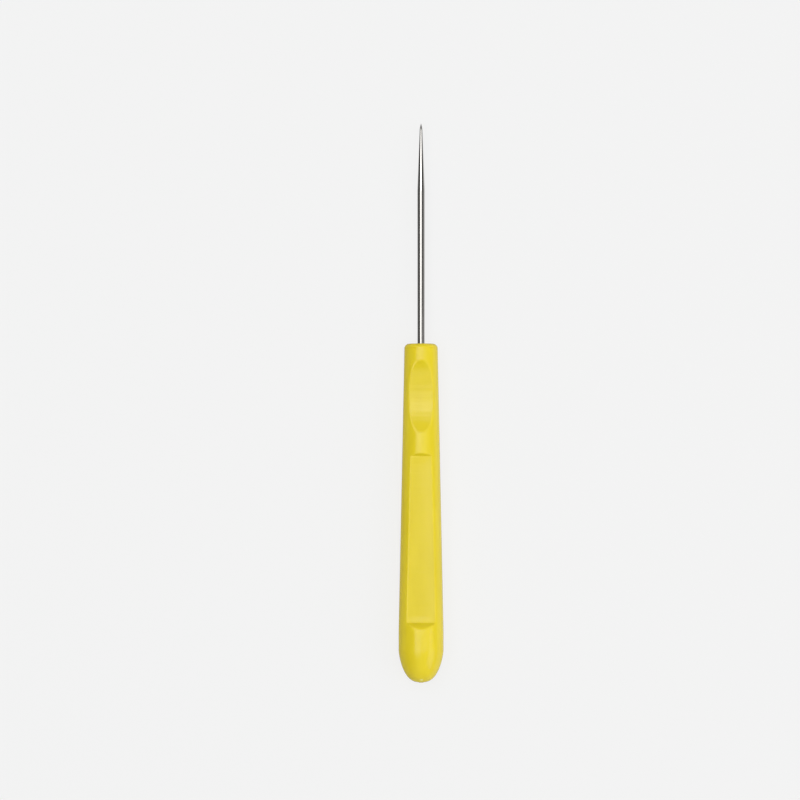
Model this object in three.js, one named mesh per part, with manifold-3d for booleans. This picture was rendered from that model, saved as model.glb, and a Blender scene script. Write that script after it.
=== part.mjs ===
// Plastic-handled needle awl, lying on its side.
// Millimetres, +Z up, +Y towards the needle's point, +X to the right.
//
// Both pieces are built round the tool's own axis, which runs along Y with y = 0 at
// the handle's front face. A station is a distance behind that face, so y = -station.
// Last of all the whole tool is leaned so that the underside of the tapered handle
// lies flat on the ground.

import * as THREE from 'three';
import { mergeVertices } from 'three/addons/utils/BufferGeometryUtils.js';
import Module from 'manifold-3d';

const wasm = await Module();
wasm.setup();

// ---------------------------------------------------------------- driving dimensions

// Handle: a round bar that widens to the back, a short straight stretch and a domed butt.
const handleLength = 78.7;
const frontRadius = 3.84;
const buttRadius = 5.2;
const straightLength = 4.45;
const domeLength = 7.55;
const domeBluntness = 2.7; // 2 is an ellipse's round end, and more is flatter
const domeShoulder = 1.5; // 2 is an ellipse's shoulder, and less is more sloping
const frontFillet = 1.1; // rounds the front face's edge

// Gate vestige: the nub on the butt's pole where the moulding was cut off its runner.
const gateRadius = 0.5;
const gateHeight = 0.08;

// Grip flats: long flats, one above and one below, sunk into the round surface.
const gripStart = 26.1; // front end of the floor, behind the front face
const gripRearMargin = 13.8; // rear end of the floor, ahead of the butt's pole
const gripFrontDepth = 0.78; // below the round surface, at the floor's front end
const gripRearDepth = 1.31; // the same, at its rear end
const gripFrontRamp = 0.6; // length of the slope that leads down to the floor
const gripRearRamp = 1.5;

// Finger scoops: oval hollows near the front, one above and one below.
const scoopStart = 3.9; // behind the front face
const scoopLength = 16.7;
const scoopDepth = 1.22;
const scoopFullness = 0.75; // 1 is a plain parabola, and less is steeper at the ends

// Needle: a steel wire with a long ground taper and a short final point.
const needleReach = 51.3; // from the handle's front face to the point
const shankRadius = 0.825;
const taperGrind = 15.6; // length of the taper, measured from the point
const pointGrind = 1.6; // length of the final point
const pointRadius = 0.31; // where the taper meets the final point
const pointFullness = 1.7; // 1 is a plain cone, and more is fuller

// Tang: the hidden end of the wire, flattened over a short stretch so that the
// moulded handle grips it against pulling and turning.
const tangLength = 28;
const tangChamfer = 0.3;
const paddleInset = 4; // from the wire's end to the flattened stretch
const paddleLength = 4;
const paddleWidth = 2.3;
const paddleThickness = 0.95;
const paddleCorner = 0.6;

// The moulding keeps this clearance all round the tang.
const socketGap = 0.05;

// Facets round the handle and round the wire. Both are multiples of 4, so that a
// facet faces straight up, down and to each side.
const handleFacets = 48;
const wireFacets = 24;
const domeSteps = 9;
const filletSteps = 4;
const scoopSteps = 16;
const pointSteps = 4;
const cornerSteps = 3;

// ---------------------------------------------------------------- derived sizes

const taperLength = handleLength - straightLength - domeLength;
const handleSlope = (buttRadius - frontRadius) / taperLength;
const gripEnd = handleLength - gripRearMargin;
const cutterSpan = 3 * buttRadius; // reaches past the handle on every side

function handleRadiusAt(station) {
  return frontRadius + handleSlope * Math.min(station, taperLength);
}

// ---------------------------------------------------------------- solids and meshes

// Turns a closed geometry into a solid. Triangles that a pole has shrunk to a line
// are left out.
function solidFrom(geometry) {
  geometry.deleteAttribute('normal');
  geometry.deleteAttribute('uv');
  const merged = mergeVertices(geometry);
  const corners = merged.index.array;
  const kept = [];
  for (let i = 0; i < corners.length; i += 3) {
    const [a, b, c] = corners.subarray(i, i + 3);
    if (a !== b && b !== c && c !== a) {
      kept.push(a, b, c);
    }
  }
  return new wasm.Manifold(new wasm.Mesh({
    numProp: 3,
    vertProperties: new Float32Array(merged.attributes.position.array),
    triVerts: new Uint32Array(kept),
  }));
}

// Turns a solid back into a named mesh.
function meshFrom(name, solid, material) {
  const { vertProperties, triVerts } = solid.getMesh();
  const geometry = new THREE.BufferGeometry();
  geometry.setAttribute('position', new THREE.BufferAttribute(vertProperties, 3));
  geometry.setIndex(new THREE.BufferAttribute(triVerts, 1));
  geometry.computeVertexNormals();
  const mesh = new THREE.Mesh(geometry, material);
  mesh.name = name;
  return mesh;
}

// Turns an outline of (radius, y) points, listed from back to front, round the axis.
// The facets touch the true circle, so the widths across them are the true ones.
function turned(outline, facets) {
  const halfStep = Math.PI / facets;
  const points = outline.map(([radius, y]) => new THREE.Vector2(radius / Math.cos(halfStep), y));
  return solidFrom(new THREE.LatheGeometry(points, facets, halfStep, 2 * Math.PI));
}

// Pushes a side-view outline of (y, z) points right across the tool.
function acrossTool(outline) {
  const shape = new THREE.Shape(outline.map(([y, z]) => new THREE.Vector2(y, z)));
  const geometry = new THREE.ExtrudeGeometry(shape, { depth: 2 * cutterSpan, bevelEnabled: false });
  const sideways = new THREE.Matrix4().makeBasis(
    new THREE.Vector3(0, 1, 0),
    new THREE.Vector3(0, 0, 1),
    new THREE.Vector3(1, 0, 0),
  );
  geometry.applyMatrix4(sideways);
  geometry.translate(-cutterSpan, 0, 0);
  return geometry;
}

// Cuts the same side-view outline into the top and the underside.
function cutBothFaces(body, outline) {
  const above = solidFrom(acrossTool(outline));
  const below = solidFrom(acrossTool(outline).rotateY(Math.PI));
  return body.subtract(above).subtract(below);
}

// ---------------------------------------------------------------- handle

function domeOutline() {
  const domeStart = handleLength - domeLength;
  const gateAngle = Math.acos((gateRadius / buttRadius) ** (domeBluntness / 2));
  const points = [];
  for (let i = domeSteps; i >= 0; i -= 1) {
    const angle = (gateAngle * i) / domeSteps;
    const radius = buttRadius * Math.cos(angle) ** (2 / domeBluntness);
    const station = domeStart + domeLength * Math.sin(angle) ** (2 / domeShoulder);
    points.push([radius, -station]);
  }
  return points;
}

function frontFilletOutline() {
  const centreRadius = handleRadiusAt(frontFillet) - frontFillet;
  const points = [];
  for (let i = 0; i <= filletSteps; i += 1) {
    const angle = (Math.PI / 2) * (i / filletSteps);
    const radius = centreRadius + frontFillet * Math.cos(angle);
    points.push([radius, -frontFillet + frontFillet * Math.sin(angle)]);
  }
  return points;
}

function handleBlank() {
  const gateEnd = -handleLength - gateHeight;
  return turned([
    [0, gateEnd],
    [gateRadius, gateEnd],
    ...domeOutline(),
    [buttRadius, -taperLength],
    ...frontFilletOutline(),
    [0, 0],
  ], handleFacets);
}

function gripOutline() {
  const rampFoot = gripStart - gripFrontRamp;
  const rampHead = gripEnd + gripRearRamp;
  return [
    [-rampFoot, cutterSpan],
    [-rampHead, cutterSpan],
    [-rampHead, handleRadiusAt(rampHead)],
    [-gripEnd, handleRadiusAt(gripEnd) - gripRearDepth],
    [-gripStart, handleRadiusAt(gripStart) - gripFrontDepth],
    [-rampFoot, handleRadiusAt(rampFoot)],
  ];
}

function scoopOutline() {
  const halfLength = scoopLength / 2;
  const centre = scoopStart + halfLength;
  const points = [
    [-centre + halfLength, cutterSpan],
    [-centre - halfLength, cutterSpan],
  ];
  for (let i = 0; i <= scoopSteps; i += 1) {
    const along = Math.cos((Math.PI * i) / scoopSteps); // 1 at the rear end, -1 at the front
    const station = centre + halfLength * along;
    const depth = scoopDepth * Math.max(0, 1 - along * along) ** scoopFullness;
    points.push([-station, handleRadiusAt(station) - depth]);
  }
  return points;
}

function handleSolid() {
  const gripped = cutBothFaces(handleBlank(), gripOutline());
  const scooped = cutBothFaces(gripped, scoopOutline());
  return scooped.subtract(socketSolid());
}

// ---------------------------------------------------------------- needle

// The flattened stretch: a plate with rounded corners that replaces the round wire.
// A gap makes it larger on every side, which gives the space that it lies in.
function flattened(wire, gap) {
  const halfWidth = paddleWidth / 2 + gap;
  const rear = -tangLength + paddleInset - gap;
  const front = rear + paddleLength + 2 * gap;
  const corner = paddleCorner + gap;
  const plan = new THREE.Shape();
  plan.absarc(halfWidth - corner, rear + corner, corner, -Math.PI / 2, 0);
  plan.absarc(halfWidth - corner, front - corner, corner, 0, Math.PI / 2);
  plan.absarc(-halfWidth + corner, front - corner, corner, Math.PI / 2, Math.PI);
  plan.absarc(-halfWidth + corner, rear + corner, corner, Math.PI, 1.5 * Math.PI);
  const thickness = paddleThickness + 2 * gap;
  const plate = new THREE.ExtrudeGeometry(plan, {
    depth: thickness,
    bevelEnabled: false,
    curveSegments: cornerSteps,
  });
  plate.translate(0, 0, -thickness / 2);

  const pressed = paddleLength - 2 * gap; // length of wire squeezed from above and below
  const press = new THREE.BoxGeometry(4 * shankRadius, pressed, 2 * shankRadius);
  press.translate(0, -tangLength + paddleInset + paddleLength / 2, thickness / 2 + shankRadius);
  const above = solidFrom(press.clone());
  const below = solidFrom(press.rotateY(Math.PI));
  return wire.subtract(above).subtract(below).add(solidFrom(plate));
}

function pointOutline() {
  const points = [];
  for (let i = 0; i <= pointSteps; i += 1) {
    const along = i / pointSteps; // 0 where the taper ends, 1 at the point
    const radius = pointRadius * (1 - along ** pointFullness);
    points.push([radius, needleReach - pointGrind * (1 - along)]);
  }
  return points;
}

function needleSolid() {
  const wire = turned([
    [0, -tangLength],
    [shankRadius - tangChamfer, -tangLength],
    [shankRadius, -tangLength + tangChamfer],
    [shankRadius, needleReach - taperGrind],
    ...pointOutline(),
  ], wireFacets);
  return flattened(wire, 0);
}

// The space in the handle that the tang fills, open at the front face.
function socketSolid() {
  const boreRadius = shankRadius + socketGap;
  const boreEnd = -tangLength - socketGap;
  const bore = turned([
    [0, boreEnd],
    [boreRadius, boreEnd],
    [boreRadius, frontFillet],
    [0, frontFillet],
  ], wireFacets);
  return flattened(bore, socketGap);
}

// ---------------------------------------------------------------- assembly

const yellowPlastic = new THREE.MeshStandardMaterial({
  color: 0xe6d43c,
  roughness: 0.35,
  metalness: 0,
});
const polishedSteel = new THREE.MeshStandardMaterial({
  color: 0xc4c4c0,
  roughness: 0.22,
  metalness: 1,
});

const tool = new THREE.Group();
tool.add(meshFrom('handle', handleSolid(), yellowPlastic));
tool.add(meshFrom('needle', needleSolid(), polishedSteel));

// The lean lays the handle's tapered underside on the ground, point downwards. The
// tool then stands with its box's bottom centre at the origin.
tool.rotation.x = -Math.atan(handleSlope);
const box = new THREE.Box3().setFromObject(tool, true);
const centre = box.getCenter(new THREE.Vector3());
tool.position.set(-centre.x, -centre.y, -box.min.z);

export default tool;
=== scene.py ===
"""Looks for a needle awl: a glossy moulded plastic handle and a polished steel needle."""

import math

import bpy
import numpy as np
from mathutils import Matrix, Vector


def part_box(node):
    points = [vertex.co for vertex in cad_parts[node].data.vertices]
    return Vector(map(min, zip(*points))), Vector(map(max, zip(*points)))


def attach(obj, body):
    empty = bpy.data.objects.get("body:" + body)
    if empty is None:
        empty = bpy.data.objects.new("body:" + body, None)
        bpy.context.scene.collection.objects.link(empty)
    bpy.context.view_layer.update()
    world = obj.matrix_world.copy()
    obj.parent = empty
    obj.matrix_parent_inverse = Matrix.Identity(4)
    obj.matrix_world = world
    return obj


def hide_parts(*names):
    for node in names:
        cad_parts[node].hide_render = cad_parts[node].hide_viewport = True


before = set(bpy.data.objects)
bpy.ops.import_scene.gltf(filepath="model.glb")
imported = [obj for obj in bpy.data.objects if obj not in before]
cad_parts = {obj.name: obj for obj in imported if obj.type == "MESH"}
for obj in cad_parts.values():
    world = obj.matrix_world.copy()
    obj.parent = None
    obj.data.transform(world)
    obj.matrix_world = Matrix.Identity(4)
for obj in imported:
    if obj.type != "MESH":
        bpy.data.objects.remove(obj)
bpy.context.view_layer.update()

MM = 0.001

# ------------------------------------------------------------------ the design's sizes
# Stations are distances behind the handle's front face, along the tool's own axis.

FRONT_RADIUS = 3.84 * MM
BUTT_RADIUS = 5.2 * MM
HANDLE_LENGTH = 78.7 * MM
STRAIGHT_LENGTH = 4.45 * MM
DOME_LENGTH = 7.55 * MM
DOME_BLUNTNESS = 2.7
DOME_SHOULDER = 1.5
FRONT_FILLET = 1.1 * MM
GATE_RADIUS = 0.5 * MM
GATE_HEIGHT = 0.08 * MM

GRIP_START = 26.1 * MM
GRIP_END = HANDLE_LENGTH - 13.8 * MM
GRIP_FRONT_DEPTH = 0.78 * MM
GRIP_REAR_DEPTH = 1.31 * MM
GRIP_FRONT_RAMP = 0.6 * MM

SCOOP_START = 3.9 * MM
SCOOP_LENGTH = 16.7 * MM
SCOOP_DEPTH = 1.22 * MM
SCOOP_FULLNESS = 0.75

NEEDLE_REACH = 51.3 * MM
SHANK_RADIUS = 0.825 * MM
TAPER_GRIND = 15.6 * MM
POINT_GRIND = 1.6 * MM
POINT_RADIUS = 0.31 * MM
POINT_FULLNESS = 1.7
TANG_LENGTH = 28.0 * MM
TANG_CHAMFER = 0.3 * MM
PADDLE_INSET = 4.0 * MM
PADDLE_LENGTH = 4.0 * MM
PADDLE_WIDTH = 2.3 * MM
PADDLE_THICKNESS = 0.95 * MM

# Small shapes that only the visual meshes have.
RIM_ROUNDING = 0.12 * MM  # softens the rims of the flats and scoops
FRONT_FOOT_ROUNDING = 0.10 * MM  # softens the foot of a flat's front ramp
REAR_FOOT_ROUNDING = 0.30 * MM  # the same, at its rear ramp
REAR_FADE = 2.1 * MM  # over which the rear ramp flattens out into the round surface
FLOOR_SINK = 0.12 * MM  # how far the flats' floors have shrunk below their rims
FLOOR_SINK_FADE = 2.0 * MM  # over which that starts at each end of a floor
SEAM_HEIGHT = 0.02 * MM  # the mould's parting line, along both sides
SEAM_WIDTH = 0.10 * MM
SEAM_NONE_RADIUS = 1.0 * MM  # near the poles the line fades out between these two radii
SEAM_FULL_RADIUS = 2.5 * MM
GATE_ROUNDING = 0.12 * MM  # softens the gate vestige's edge
GATE_DIMPLE = 0.4  # depth of the dip in the gate vestige's middle, over its height
MOUTH_ROUNDING = 0.12 * MM  # where the needle leaves the handle
SOCKET_GAP = 0.02 * MM  # between the tang and the handle
PADDLE_BLEND = 0.25 * MM  # over which the round wire turns flat at each end of the paddle
PADDLE_SQUARENESS = 6.0  # 2 gives the paddle an oval section, and more a squarer one

# The painted highlight is a pale spot on top of the butt, coloured where a small glint shows and
# read as the moulding's witness mark. It is only coloured.
GLINT_SPOT_OFFSET = 0.1 * MM  # how far it lies to the right
GLINT_SPOT_INSET = 0.6 * MM  # ahead of the butt's pole
GLINT_SPOT_HEIGHT = 2.35 * MM  # of the butt's surface there, above the tool's axis
GLINT_SPOT_RADIUS = 0.32 * MM
GLINT_SPOT_EDGE = 0.15 * MM  # over which it fades, inside and outside its radius

# How finely the rounded front end and the wire are divided.
FILLET_RINGS = 12
FACE_RINGS = 8
LIP_RINGS = 6
WIRE_SIDES = 96

TAPER_LENGTH = HANDLE_LENGTH - STRAIGHT_LENGTH - DOME_LENGTH
HANDLE_SLOPE = (BUTT_RADIUS - FRONT_RADIUS) / TAPER_LENGTH
LEAN = math.atan(HANDLE_SLOPE)

# The tool's own frame has its origin at the centre of the handle's front face and +Y
# towards the needle's point. The frame says where the point and the ground are.
point_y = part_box("needle")[1].y
ground_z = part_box("handle")[0].z
tool_to_row = (
    Matrix.Translation((
        0.0,
        point_y - NEEDLE_REACH * math.cos(LEAN),
        ground_z + FRONT_RADIUS * math.cos(LEAN),
    ))
    @ Matrix.Rotation(-LEAN, 4, "X")
)


# ------------------------------------------------------------------ camera

VIEW_WIDTH = 186.05 * MM  # how much of the ground the picture spans
VIEW_CENTRE = Vector((-4.9 * MM, 0.65 * MM, 4.0 * MM))
CAMERA_HEIGHT = 1.4  # metres above the view's centre


def make_camera():
    data = bpy.data.cameras.new("camera")
    data.lens = data.sensor_width * CAMERA_HEIGHT / VIEW_WIDTH
    data.clip_end = 20.0
    camera = bpy.data.objects.new("camera", data)
    camera.location = VIEW_CENTRE + Vector((0.0, 0.0, CAMERA_HEIGHT))
    bpy.context.scene.collection.objects.link(camera)
    bpy.context.scene.camera = camera


# ------------------------------------------------------------------ mesh helpers

def graded(start, end, spots, fine, coarse, reach):
    """Values from start to end, close together near each spot and further apart elsewhere."""
    values = [start]
    while values[-1] < end - fine / 2:
        nearest = min(abs(values[-1] - spot) for spot in spots)
        values.append(values[-1] + fine + (coarse - fine) * min(1.0, nearest / reach))
    values[-1] = end
    return np.array(values)


def smooth_step(values, start, end):
    t = np.clip((values - start) / (end - start), 0.0, 1.0)
    return t * t * (3.0 - 2.0 * t)


def smooth_max(a, b, rounding):
    overlap = np.maximum(rounding - np.abs(a - b), 0.0)
    return np.maximum(a, b) + overlap * overlap / (4.0 * rounding)


def polar_skin(name, stations, radii, angles, **point_values):
    """A closed smooth mesh round the tool's axis, through one ring for each station.

    radii has a row for each station and a column for each angle. The first and last
    rings close onto a pole on the axis. Each point value is stored as an attribute.
    """
    rows, columns = radii.shape
    x = radii * np.sin(angles)
    y = np.repeat(-stations[:, None], columns, axis=1)
    z = radii * np.cos(angles)
    ring_points = np.stack([x, y, z], axis=2).reshape(-1, 3)
    poles = np.array([[0.0, -stations[0], 0.0], [0.0, -stations[-1], 0.0]])
    points = np.vstack([ring_points, poles])

    index = np.arange(rows * columns).reshape(rows, columns)
    following = np.roll(index, -1, axis=1)
    quads = np.stack([index[:-1], following[:-1], following[1:], index[1:]], axis=2)
    faces = quads.reshape(-1, 4).tolist()
    first_pole = rows * columns
    faces += [[first_pole, b, a] for a, b in zip(index[0], following[0])]
    faces += [[first_pole + 1, a, b] for a, b in zip(index[-1], following[-1])]

    mesh = bpy.data.meshes.new(name)
    mesh.from_pydata(points.tolist(), [], faces)
    for key, values in point_values.items():
        ring_values = np.broadcast_to(values, (rows, columns)).reshape(-1)
        attribute = mesh.attributes.new(key, "FLOAT", "POINT")
        pole_values = [ring_values[0], ring_values[-1]]
        attribute.data.foreach_set("value", np.append(ring_values, pole_values).astype(np.float32))
    mesh.transform(tool_to_row)
    mesh.polygons.foreach_set("use_smooth", np.ones(len(mesh.polygons), dtype=bool))
    mesh.update()
    piece = bpy.data.objects.new(name, mesh)
    bpy.context.scene.collection.objects.link(piece)
    return piece


def ring_angles():
    """Angles round the axis from straight up, finest at the rims and the parting line."""
    rims = [math.radians(degrees) for degrees in (32.0, 44.0, 56.0)]
    quarter = graded(
        0.0, math.pi / 2, rims + [math.pi / 2],
        fine=math.radians(0.55), coarse=math.radians(2.5), reach=math.radians(14.0),
    )
    half = np.concatenate([quarter, math.pi - quarter[-2::-1]])
    return np.concatenate([half, half[1:-1] + math.pi])


# ------------------------------------------------------------------ handle shape

def handle_radius(stations):
    return FRONT_RADIUS + HANDLE_SLOPE * np.minimum(stations, TAPER_LENGTH)


def grip_height(stations):
    """How far the grip flat and its two ramps stand from the axis."""
    front_floor = handle_radius(GRIP_START) - GRIP_FRONT_DEPTH
    rear_floor = handle_radius(GRIP_END) - GRIP_REAR_DEPTH
    rise = (rear_floor - front_floor) / (GRIP_END - GRIP_START)
    floor = front_floor + rise * (stations - GRIP_START)
    front_slope = GRIP_FRONT_DEPTH / GRIP_FRONT_RAMP
    front_ramp = front_floor + front_slope * (GRIP_START - stations)
    to_head = 1.0 - (stations - GRIP_END) / REAR_FADE
    rear_ramp = handle_radius(stations) - GRIP_REAR_DEPTH * to_head * np.abs(to_head)
    height = smooth_max(floor, front_ramp, FRONT_FOOT_ROUNDING)
    return smooth_max(height, rear_ramp, REAR_FOOT_ROUNDING)


def scoop_height(stations):
    """How far the scoop's floor stands from the axis, rising steeply past its ends."""
    half_length = SCOOP_LENGTH / 2
    along = (stations - SCOOP_START - half_length) / half_length
    inside = np.maximum(1.0 - along * along, 0.0)
    outside = np.maximum(np.abs(along) - 1.0, 0.0)
    depth = SCOOP_DEPTH * inside ** SCOOP_FULLNESS
    rise = 2.0  # slope past the ends, which keeps the scoop clear of the round surface there
    return handle_radius(stations) - depth + rise * half_length * outside


def rounded_cut(outline, height, cosine, rounding):
    """Distance from the axis to the round surface or to a flat cut above it.

    outline is the round surface's radius, height the cut's distance from the axis and
    cosine that of the angle between them. The edge where they meet is rounded.
    """
    inner = outline - rounding
    below = height - rounding
    a = 1.0 + cosine ** 2
    b = inner + cosine * below
    c = inner ** 2 + below ** 2 - rounding ** 2
    edge = (b + np.sqrt(np.maximum(b * b - a * c, 0.0))) / a
    flat = height / np.maximum(cosine, 1e-6)
    radius = np.where(height <= cosine * inner, flat, edge)
    return np.where(cosine * outline <= below, outline, radius)


def dome_outline():
    """Stations and radii of the domed butt with its gate vestige, from the pole."""
    gate_turn = math.asin((GATE_RADIUS / BUTT_RADIUS) ** (DOME_BLUNTNESS / 2))
    fine = 0.004
    turn = graded(fine, math.pi / 2, [gate_turn], fine, coarse=0.045, reach=0.3)
    radii = BUTT_RADIUS * np.sin(turn) ** (2 / DOME_BLUNTNESS)
    dome_start = HANDLE_LENGTH - DOME_LENGTH
    stations = dome_start + DOME_LENGTH * np.abs(np.cos(turn)) ** (2 / DOME_SHOULDER)
    gate = 1.0 - smooth_step(radii, GATE_RADIUS - GATE_ROUNDING, GATE_RADIUS + GATE_ROUNDING)
    dimple = GATE_DIMPLE * np.exp(-(radii / (GATE_RADIUS / 2)) ** 2)
    return stations + GATE_HEIGHT * (gate - dimple), radii


def body_outline():
    """Stations and radii from the dome's start to the front fillet."""
    spots = [
        FRONT_FILLET,
        SCOOP_START,
        SCOOP_START + SCOOP_LENGTH,
        GRIP_START - GRIP_FRONT_RAMP / 2,
        GRIP_END,
        GRIP_END + REAR_FADE,
    ]
    stations = graded(
        FRONT_FILLET, HANDLE_LENGTH - DOME_LENGTH, spots,
        fine=0.05 * MM, coarse=0.8 * MM, reach=6.0 * MM,
    )
    stations = stations[-2:0:-1]
    return stations, handle_radius(stations)


def front_outline():
    """Stations and radii of the front fillet, the front face and the needle's mouth."""
    turn = np.linspace(0.0, math.pi / 2, FILLET_RINGS)
    centre = handle_radius(FRONT_FILLET) - FRONT_FILLET
    fillet_stations = FRONT_FILLET * (1.0 - np.sin(turn))
    fillet_radii = centre + FRONT_FILLET * np.cos(turn)
    mouth = SHANK_RADIUS + SOCKET_GAP
    face_radii = np.linspace(centre, mouth + MOUTH_ROUNDING, FACE_RINGS)[1:]
    lip = np.linspace(0.0, math.pi / 2, LIP_RINGS)[1:]
    lip_stations = MOUTH_ROUNDING * (1.0 - np.cos(lip))
    lip_radii = mouth + MOUTH_ROUNDING * (1.0 - np.sin(lip))
    stations = np.concatenate([fillet_stations, np.zeros(len(face_radii)), lip_stations])
    return stations, np.concatenate([fillet_radii, face_radii, lip_radii])


def tang_stations(start, end):
    paddle_rear = TANG_LENGTH - PADDLE_INSET
    return graded(
        start, end, [end, paddle_rear, paddle_rear - PADDLE_LENGTH],
        fine=0.08 * MM, coarse=2.0 * MM, reach=4.0 * MM,
    )


def tang_radii(stations, angles, gap):
    """The wire's hidden end, round but for the stretch that is pressed flat."""
    rear = TANG_LENGTH - PADDLE_INSET
    front = rear - PADDLE_LENGTH
    pressed = (
        smooth_step(stations, front - PADDLE_BLEND, front + PADDLE_BLEND)
        * (1.0 - smooth_step(stations, rear - PADDLE_BLEND, rear + PADDLE_BLEND))
    )
    across = (np.abs(np.sin(angles)) / (PADDLE_WIDTH / 2)) ** PADDLE_SQUARENESS
    upward = (np.abs(np.cos(angles)) / (PADDLE_THICKNESS / 2)) ** PADDLE_SQUARENESS
    paddle = (across + upward) ** (-1.0 / PADDLE_SQUARENESS)
    return SHANK_RADIUS + gap + pressed[:, None] * (paddle - SHANK_RADIUS)[None, :]


def cut_height(stations, outline, angles):
    """How far the flats and scoops stand from the axis, with the flats' floors sunk."""
    grip = grip_height(stations)
    shortest_chord = 0.5 * MM  # stands in where the flat doesn't reach into the surface
    chord = np.sqrt(np.maximum(outline ** 2 - grip ** 2, shortest_chord ** 2))
    across = np.minimum(grip * np.abs(np.tan(angles)) / chord, 1.0)
    on_floor = (
        smooth_step(stations, GRIP_START, GRIP_START + FLOOR_SINK_FADE)
        * (1.0 - smooth_step(stations, GRIP_END - FLOOR_SINK_FADE, GRIP_END))
    )
    grip = grip - FLOOR_SINK * on_floor * (1.0 - across ** 2)
    return np.minimum(grip, scoop_height(stations))


def seam_height(stations, outline, cosine):
    """The parting line's ridge along both sides. It fades out at both poles."""
    distance = outline * np.arcsin(cosine)
    off_pole = smooth_step(outline, SEAM_NONE_RADIUS, SEAM_FULL_RADIUS)
    on_side = off_pole * smooth_step(stations, 0.0, FRONT_FILLET)
    return SEAM_HEIGHT * on_side * np.exp(-(distance / SEAM_WIDTH) ** 2)


def outer_skin(angles):
    """Stations, radii and floor marks of the handle's outside, from the butt's pole."""
    outlines = [dome_outline(), body_outline(), front_outline()]
    stations = np.concatenate([outline[0] for outline in outlines])
    outline = np.concatenate([outline[1] for outline in outlines])[:, None]

    # Both faces are cut alike, so the cosine's sign doesn't matter.
    cosine = np.abs(np.cos(angles))[None, :]
    behind_face = stations[:, None]
    height = cut_height(behind_face, outline, angles)
    radii = rounded_cut(outline, height, cosine, RIM_ROUNDING)
    radii = radii + seam_height(behind_face, outline, cosine)
    floor = (height <= cosine * (outline - RIM_ROUNDING)).astype(float)
    return stations, radii, floor


def make_handle():
    angles = ring_angles()
    stations, radii, floor = outer_skin(angles)
    first_step = 0.1 * MM  # from the mouth's last ring to the socket's first
    bore_stations = tang_stations(stations[-1] + first_step, TANG_LENGTH + SOCKET_GAP)
    bore_radii = tang_radii(bore_stations, angles, SOCKET_GAP)
    stations = np.concatenate([stations, bore_stations])
    radii = np.vstack([radii, bore_radii])
    floor = np.vstack([floor, np.zeros(bore_radii.shape)])

    handle = polar_skin("moulded_handle", stations, radii, angles, grip_floor=floor)
    handle.data.materials.append(yellow_plastic())
    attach(handle, "root")
    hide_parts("handle")


# ------------------------------------------------------------------ needle shape

def point_outline():
    """Stations and radii of the final point and the ground taper, from the tip."""
    from_tip = graded(
        0.0, TAPER_GRIND, [0.0, POINT_GRIND, TAPER_GRIND],
        fine=0.04 * MM, coarse=0.8 * MM, reach=3.0 * MM,
    )[1:]
    along = np.clip(1.0 - from_tip / POINT_GRIND, 0.0, 1.0)
    point = POINT_RADIUS * (1.0 - along ** POINT_FULLNESS)
    taper = np.clip((from_tip - POINT_GRIND) / (TAPER_GRIND - POINT_GRIND), 0.0, 1.0)
    return from_tip - NEEDLE_REACH, point + (SHANK_RADIUS - POINT_RADIUS) * taper


def make_needle():
    angles = np.linspace(0.0, 2 * math.pi, WIRE_SIDES, endpoint=False)
    point_stations, point_radii = point_outline()
    shank_start = point_stations[-1]
    shank_stations = np.arange(shank_start, 0.0, 1.0 * MM)[1:]
    hidden_stations = tang_stations(0.0, TANG_LENGTH - TANG_CHAMFER)
    stations = np.concatenate([point_stations, shank_stations, hidden_stations, [TANG_LENGTH]])
    radii = np.vstack([
        np.repeat(point_radii[:, None], len(angles), axis=1),
        np.full((len(shank_stations), len(angles)), SHANK_RADIUS),
        tang_radii(hidden_stations, angles, 0.0),
        np.full((1, len(angles)), SHANK_RADIUS - TANG_CHAMFER),
    ])
    needle = polar_skin("steel_needle", stations[::-1].copy(), radii[::-1].copy(), angles)
    needle.data.materials.append(polished_steel())
    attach(needle, "root")
    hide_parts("needle")


# ------------------------------------------------------------------ materials

def new_material(name):
    material = bpy.data.materials.new(name)
    material.use_nodes = True
    nodes = material.node_tree.nodes
    return material, nodes, material.node_tree.links, nodes["Principled BSDF"]


def tool_coordinates(nodes, links):
    """Position in the tool's own frame, in millimetres, with the axis along Y."""
    place = nodes.new("ShaderNodeTexCoord")
    turn = nodes.new("ShaderNodeMapping")
    turn.vector_type = "POINT"
    inverse = tool_to_row.inverted()
    turn.inputs["Location"].default_value = inverse.to_translation() / MM
    turn.inputs["Rotation"].default_value = inverse.to_euler()
    turn.inputs["Scale"].default_value = (1 / MM, 1 / MM, 1 / MM)
    links.new(place.outputs["Object"], turn.inputs["Vector"])
    return turn.outputs["Vector"]


def stretched_noise(nodes, links, vector, stretch, scale, detail):
    """Noise value, drawn out along the axes where stretch is small."""
    mapping = nodes.new("ShaderNodeMapping")
    mapping.inputs["Scale"].default_value = stretch
    noise = nodes.new("ShaderNodeTexNoise")
    noise.inputs["Scale"].default_value = scale
    noise.inputs["Detail"].default_value = detail
    links.new(vector, mapping.inputs["Vector"])
    links.new(mapping.outputs["Vector"], noise.inputs["Vector"])
    return noise.outputs["Fac"]


def ranged(nodes, links, value, low, high, from_low=0.3, from_high=0.7):
    """Maps a value onto the range from low to high. The defaults suit a noise value."""
    node = nodes.new("ShaderNodeMapRange")
    node.inputs["From Min"].default_value = from_low
    node.inputs["From Max"].default_value = from_high
    node.inputs["To Min"].default_value = low
    node.inputs["To Max"].default_value = high
    links.new(value, node.inputs["Value"])
    return node.outputs["Result"]


def blended(nodes, links, factor, first, second):
    """Colour between first and second. Either is a plain colour or another node's output."""
    mix = nodes.new("ShaderNodeMix")
    mix.data_type = "RGBA"
    links.new(factor, mix.inputs["Factor"])
    for key, colour in (("A", first), ("B", second)):
        socket = next(i for i in mix.inputs if i.name == key and i.type == "RGBA")
        if isinstance(colour, tuple):
            socket.default_value = colour
        else:
            links.new(colour, socket)
    return next(o for o in mix.outputs if o.type == "RGBA")


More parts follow.
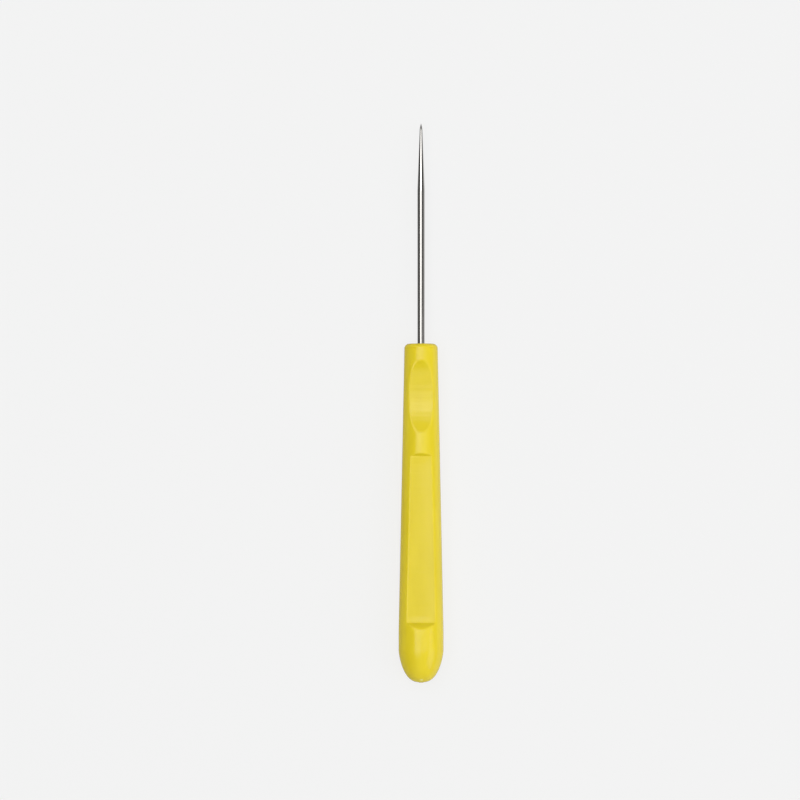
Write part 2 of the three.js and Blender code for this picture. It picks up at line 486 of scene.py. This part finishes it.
def bumped(nodes, links, height, strength, distance, below=None):
    """Normal of a surface with small bumps, laid over another bumped normal if given."""
    bump = nodes.new("ShaderNodeBump")
    bump.inputs["Strength"].default_value = strength
    bump.inputs["Distance"].default_value = distance
    links.new(height, bump.inputs["Height"])
    if below is not None:
        links.new(below, bump.inputs["Normal"])
    return bump.outputs["Normal"]


def painted_glint_spot(nodes, links, place):
    """1 on the small pale spot of painted highlight on top of the butt, where a glint shows, 0
    elsewhere.
    """
    centre = Vector((GLINT_SPOT_OFFSET, GLINT_SPOT_INSET - HANDLE_LENGTH, GLINT_SPOT_HEIGHT))
    offset = nodes.new("ShaderNodeVectorMath")
    offset.operation = "DISTANCE"
    offset.inputs[1].default_value = centre / MM
    links.new(place, offset.inputs[0])
    inner = (GLINT_SPOT_RADIUS - GLINT_SPOT_EDGE) / MM
    outer = (GLINT_SPOT_RADIUS + GLINT_SPOT_EDGE) / MM
    distance = offset.outputs["Value"]
    return ranged(nodes, links, distance, 1.0, 0.0, from_low=inner, from_high=outer)


def yellow_plastic():
    material, nodes, links, shader = new_material("yellow_plastic")
    place = tool_coordinates(nodes, links)
    floor = nodes.new("ShaderNodeAttribute")
    floor.attribute_name = "grip_floor"
    on_floor = floor.outputs["Fac"]

    flow = stretched_noise(nodes, links, place, (1.0, 0.25, 1.0), 0.35, 3.0)
    mottle = ranged(nodes, links, flow, 0.0, 1.0)
    round_tint = blended(nodes, links, mottle, (0.84, 0.655, 0.022, 1.0), (0.88, 0.70, 0.032, 1.0))
    # The grip flat's floor is coloured a little darker than the round surface.
    floor_tint = blended(nodes, links, mottle, (0.79, 0.622, 0.015, 1.0), (0.83, 0.654, 0.021, 1.0))
    moulded_tint = blended(nodes, links, on_floor, round_tint, floor_tint)
    # Painted highlight: a pale spot on top of the butt stands in for a small glint there.
    glint_mask = painted_glint_spot(nodes, links, place)
    tint = blended(nodes, links, glint_mask, moulded_tint, (0.98, 0.90, 0.26, 1.0))
    links.new(tint, shader.inputs["Base Color"])

    smear = stretched_noise(nodes, links, place, (1.0, 0.4, 1.0), 1.6, 4.0)
    links.new(ranged(nodes, links, smear, 0.14, 0.20), shader.inputs["Roughness"])

    peel = stretched_noise(nodes, links, place, (1.0, 1.0, 1.0), 1.5, 1.0)
    peel_normal = bumped(nodes, links, peel, strength=0.15, distance=0.01 * MM)
    tooling = stretched_noise(nodes, links, place, (0.06, 1.0, 0.06), 1.3, 2.0)
    tooling_on_floor = nodes.new("ShaderNodeMath")
    tooling_on_floor.operation = "MULTIPLY"
    links.new(tooling, tooling_on_floor.inputs[0])
    links.new(on_floor, tooling_on_floor.inputs[1])
    tooling_height = tooling_on_floor.outputs["Value"]
    normal = bumped(nodes, links, tooling_height, 0.7, 0.05 * MM, below=peel_normal)
    links.new(normal, shader.inputs["Normal"])

    shader.inputs["IOR"].default_value = 1.46
    shader.inputs["Subsurface Weight"].default_value = 0.10
    shader.inputs["Subsurface Radius"].default_value = (1.0, 0.8, 0.2)
    shader.inputs["Subsurface Scale"].default_value = 1.0 * MM
    return material


def polished_steel():
    material, nodes, links, shader = new_material("polished_steel")
    place = tool_coordinates(nodes, links)

    cloud = stretched_noise(nodes, links, place, (1.0, 0.3, 1.0), 0.8, 3.0)
    tint = blended(
        nodes, links, ranged(nodes, links, cloud, 0.0, 1.0),
        (0.54, 0.525, 0.50, 1.0), (0.58, 0.565, 0.54, 1.0),
    )
    links.new(tint, shader.inputs["Base Color"])

    drawn = stretched_noise(nodes, links, place, (10.0, 0.3, 10.0), 1.0, 2.0)
    links.new(ranged(nodes, links, drawn, 0.07, 0.11), shader.inputs["Roughness"])
    normal = bumped(nodes, links, drawn, strength=0.1, distance=0.002 * MM)
    links.new(normal, shader.inputs["Normal"])

    shader.inputs["Metallic"].default_value = 1.0
    return material


def pale_ground():
    material, nodes, links, shader = new_material("pale_ground")
    shader.inputs["Base Color"].default_value = (0.10, 0.10, 0.10, 1.0)
    shader.inputs["Roughness"].default_value = 0.9
    shader.inputs["Specular IOR Level"].default_value = 0.0
    shader.inputs["Emission Color"].default_value = (1.0, 1.0, 1.0, 1.0)
    shader.inputs["Emission Strength"].default_value = 0.80
    return material


# ------------------------------------------------------------------ stage and light

BACKDROP_LEVEL = 0.896  # what the camera sees past the ground's edge
HORIZON_BLEND = 0.1  # how far above and below the horizon the ground and the room mix


def make_ground():
    reach = 3.0  # metres from the middle to each edge
    mesh = bpy.data.meshes.new("ground")
    corners = [(-reach, -reach), (reach, -reach), (reach, reach), (-reach, reach)]
    mesh.from_pydata([(x, y, ground_z) for x, y in corners], [], [(0, 1, 2, 3)])
    ground = bpy.data.objects.new("ground", mesh)
    ground.data.materials.append(pale_ground())
    ground.visible_glossy = False
    bpy.context.scene.collection.objects.link(ground)


def area_light(name, width, length, glow, colour=(1.0, 1.0, 1.0)):
    """A rectangular light that shines down. glow is its radiance."""
    data = bpy.data.lights.new(name, "AREA")
    data.shape = "RECTANGLE"
    data.size = width
    data.size_y = length
    data.energy = glow * math.pi * width * length
    data.color = colour
    light = bpy.data.objects.new(name, data)
    light.visible_camera = False
    bpy.context.scene.collection.objects.link(light)
    return light


def panel(name, height, across, along, glow):
    """A level light above the tool, placed by where a mirror lying there would show it.

    across and along are its two edges' angles from straight up, in degrees, towards
    the right and towards the needle's point.
    """
    left, right = (height * math.tan(math.radians(angle)) for angle in across)
    rear, front = (height * math.tan(math.radians(angle)) for angle in along)
    light = area_light(name, right - left, front - rear, glow)
    light.location = ((left + right) / 2, (rear + front) / 2, height)


def softbox(name, direction, distance, width, length, glow, mirrored, colour=(1.0, 1.0, 1.0)):
    """A light that faces the tool from a direction. Only a mirrored one shows in gloss."""
    light = area_light(name, width, length, glow, colour)
    outward = Vector(direction).normalized()
    light.location = outward * distance
    light.rotation_euler = outward.to_track_quat("Z", "Y").to_euler()
    light.visible_glossy = mirrored


def make_lights():
    panel("overhead", 0.80, across=(-34.0, 32.0), along=(-16.0, 24.0), glow=0.85)
    panel("low_right", 0.80, across=(32.0, 58.0), along=(-12.0, 5.0), glow=0.4)
    panel("left_strip", 0.77, across=(-34.0, -4.0), along=(-26.0, 45.0), glow=1.1)
    panel("front_strip", 0.78, across=(-4.0, 4.0), along=(0.6, 16.5), glow=1.1)
    panel("rear_strip", 0.79, across=(-4.0, 4.0), along=(-15.0, -9.5), glow=0.5)
    panel("needle_strip", 0.76, across=(4.0, 15.0), along=(5.2, 16.5), glow=1.1)
    panel("taper_strip", 0.75, across=(-16.0, 12.0), along=(10.0, 16.0), glow=1.8)
    softbox(
        "window", direction=(0.79, -0.39, 0.53), distance=0.85,
        width=0.57, length=0.50, glow=1.5, mirrored=True,
    )
    softbox(
        "top_fill", direction=(0.2, 0.0, 1.0), distance=1.00,
        width=1.2, length=1.6, glow=0.78, mirrored=False, colour=(0.94, 1.0, 0.98),
    )
    softbox(
        "right_fill", direction=(0.8, 0.1, 0.6), distance=0.90,
        width=0.8, length=0.8, glow=0.32, mirrored=False, colour=(1.0, 0.95, 0.88),
    )


def room_glow(nodes, links):
    """Strength of a dark room that is paler at its two ends, over a paler ground."""
    place = nodes.new("ShaderNodeTexCoord")
    axes = nodes.new("ShaderNodeSeparateXYZ")
    links.new(place.outputs["Generated"], axes.inputs["Vector"])
    ground = ranged(nodes, links, axes.outputs["X"], 0.20, 0.70, from_low=-1.0, from_high=1.0)
    endways = nodes.new("ShaderNodeMath")
    endways.operation = "ABSOLUTE"
    links.new(axes.outputs["Y"], endways.inputs[0])
    off_middle = endways.outputs["Value"]
    room = ranged(nodes, links, off_middle, 0.06, 0.30, from_low=0.35, from_high=0.75)
    glow = nodes.new("ShaderNodeMapRange")
    glow.inputs["From Min"].default_value = -HORIZON_BLEND
    glow.inputs["From Max"].default_value = HORIZON_BLEND
    links.new(axes.outputs["Z"], glow.inputs["Value"])
    links.new(ground, glow.inputs["To Min"])
    links.new(room, glow.inputs["To Max"])
    return glow.outputs["Result"]


def make_world():
    """Surroundings: pale to the camera, and the room for the light."""
    world = bpy.data.worlds.new("studio")
    bpy.context.scene.world = world
    world.use_nodes = True
    nodes = world.node_tree.nodes
    links = world.node_tree.links
    room = nodes["Background"]
    room.inputs["Color"].default_value = (1.0, 1.0, 1.0, 1.0)
    links.new(room_glow(nodes, links), room.inputs["Strength"])
    backdrop = nodes.new("ShaderNodeBackground")
    backdrop.inputs["Color"].default_value = (BACKDROP_LEVEL, BACKDROP_LEVEL, BACKDROP_LEVEL, 1.0)
    path = nodes.new("ShaderNodeLightPath")
    choose = nodes.new("ShaderNodeMixShader")
    links.new(path.outputs["Is Camera Ray"], choose.inputs["Fac"])
    links.new(room.outputs["Background"], choose.inputs[1])
    links.new(backdrop.outputs["Background"], choose.inputs[2])
    links.new(choose.outputs["Shader"], nodes["World Output"].inputs["Surface"])


make_camera()
make_handle()
make_needle()
make_ground()
make_lights()
make_world()
bpy.context.scene.view_settings.view_transform = "Standard"
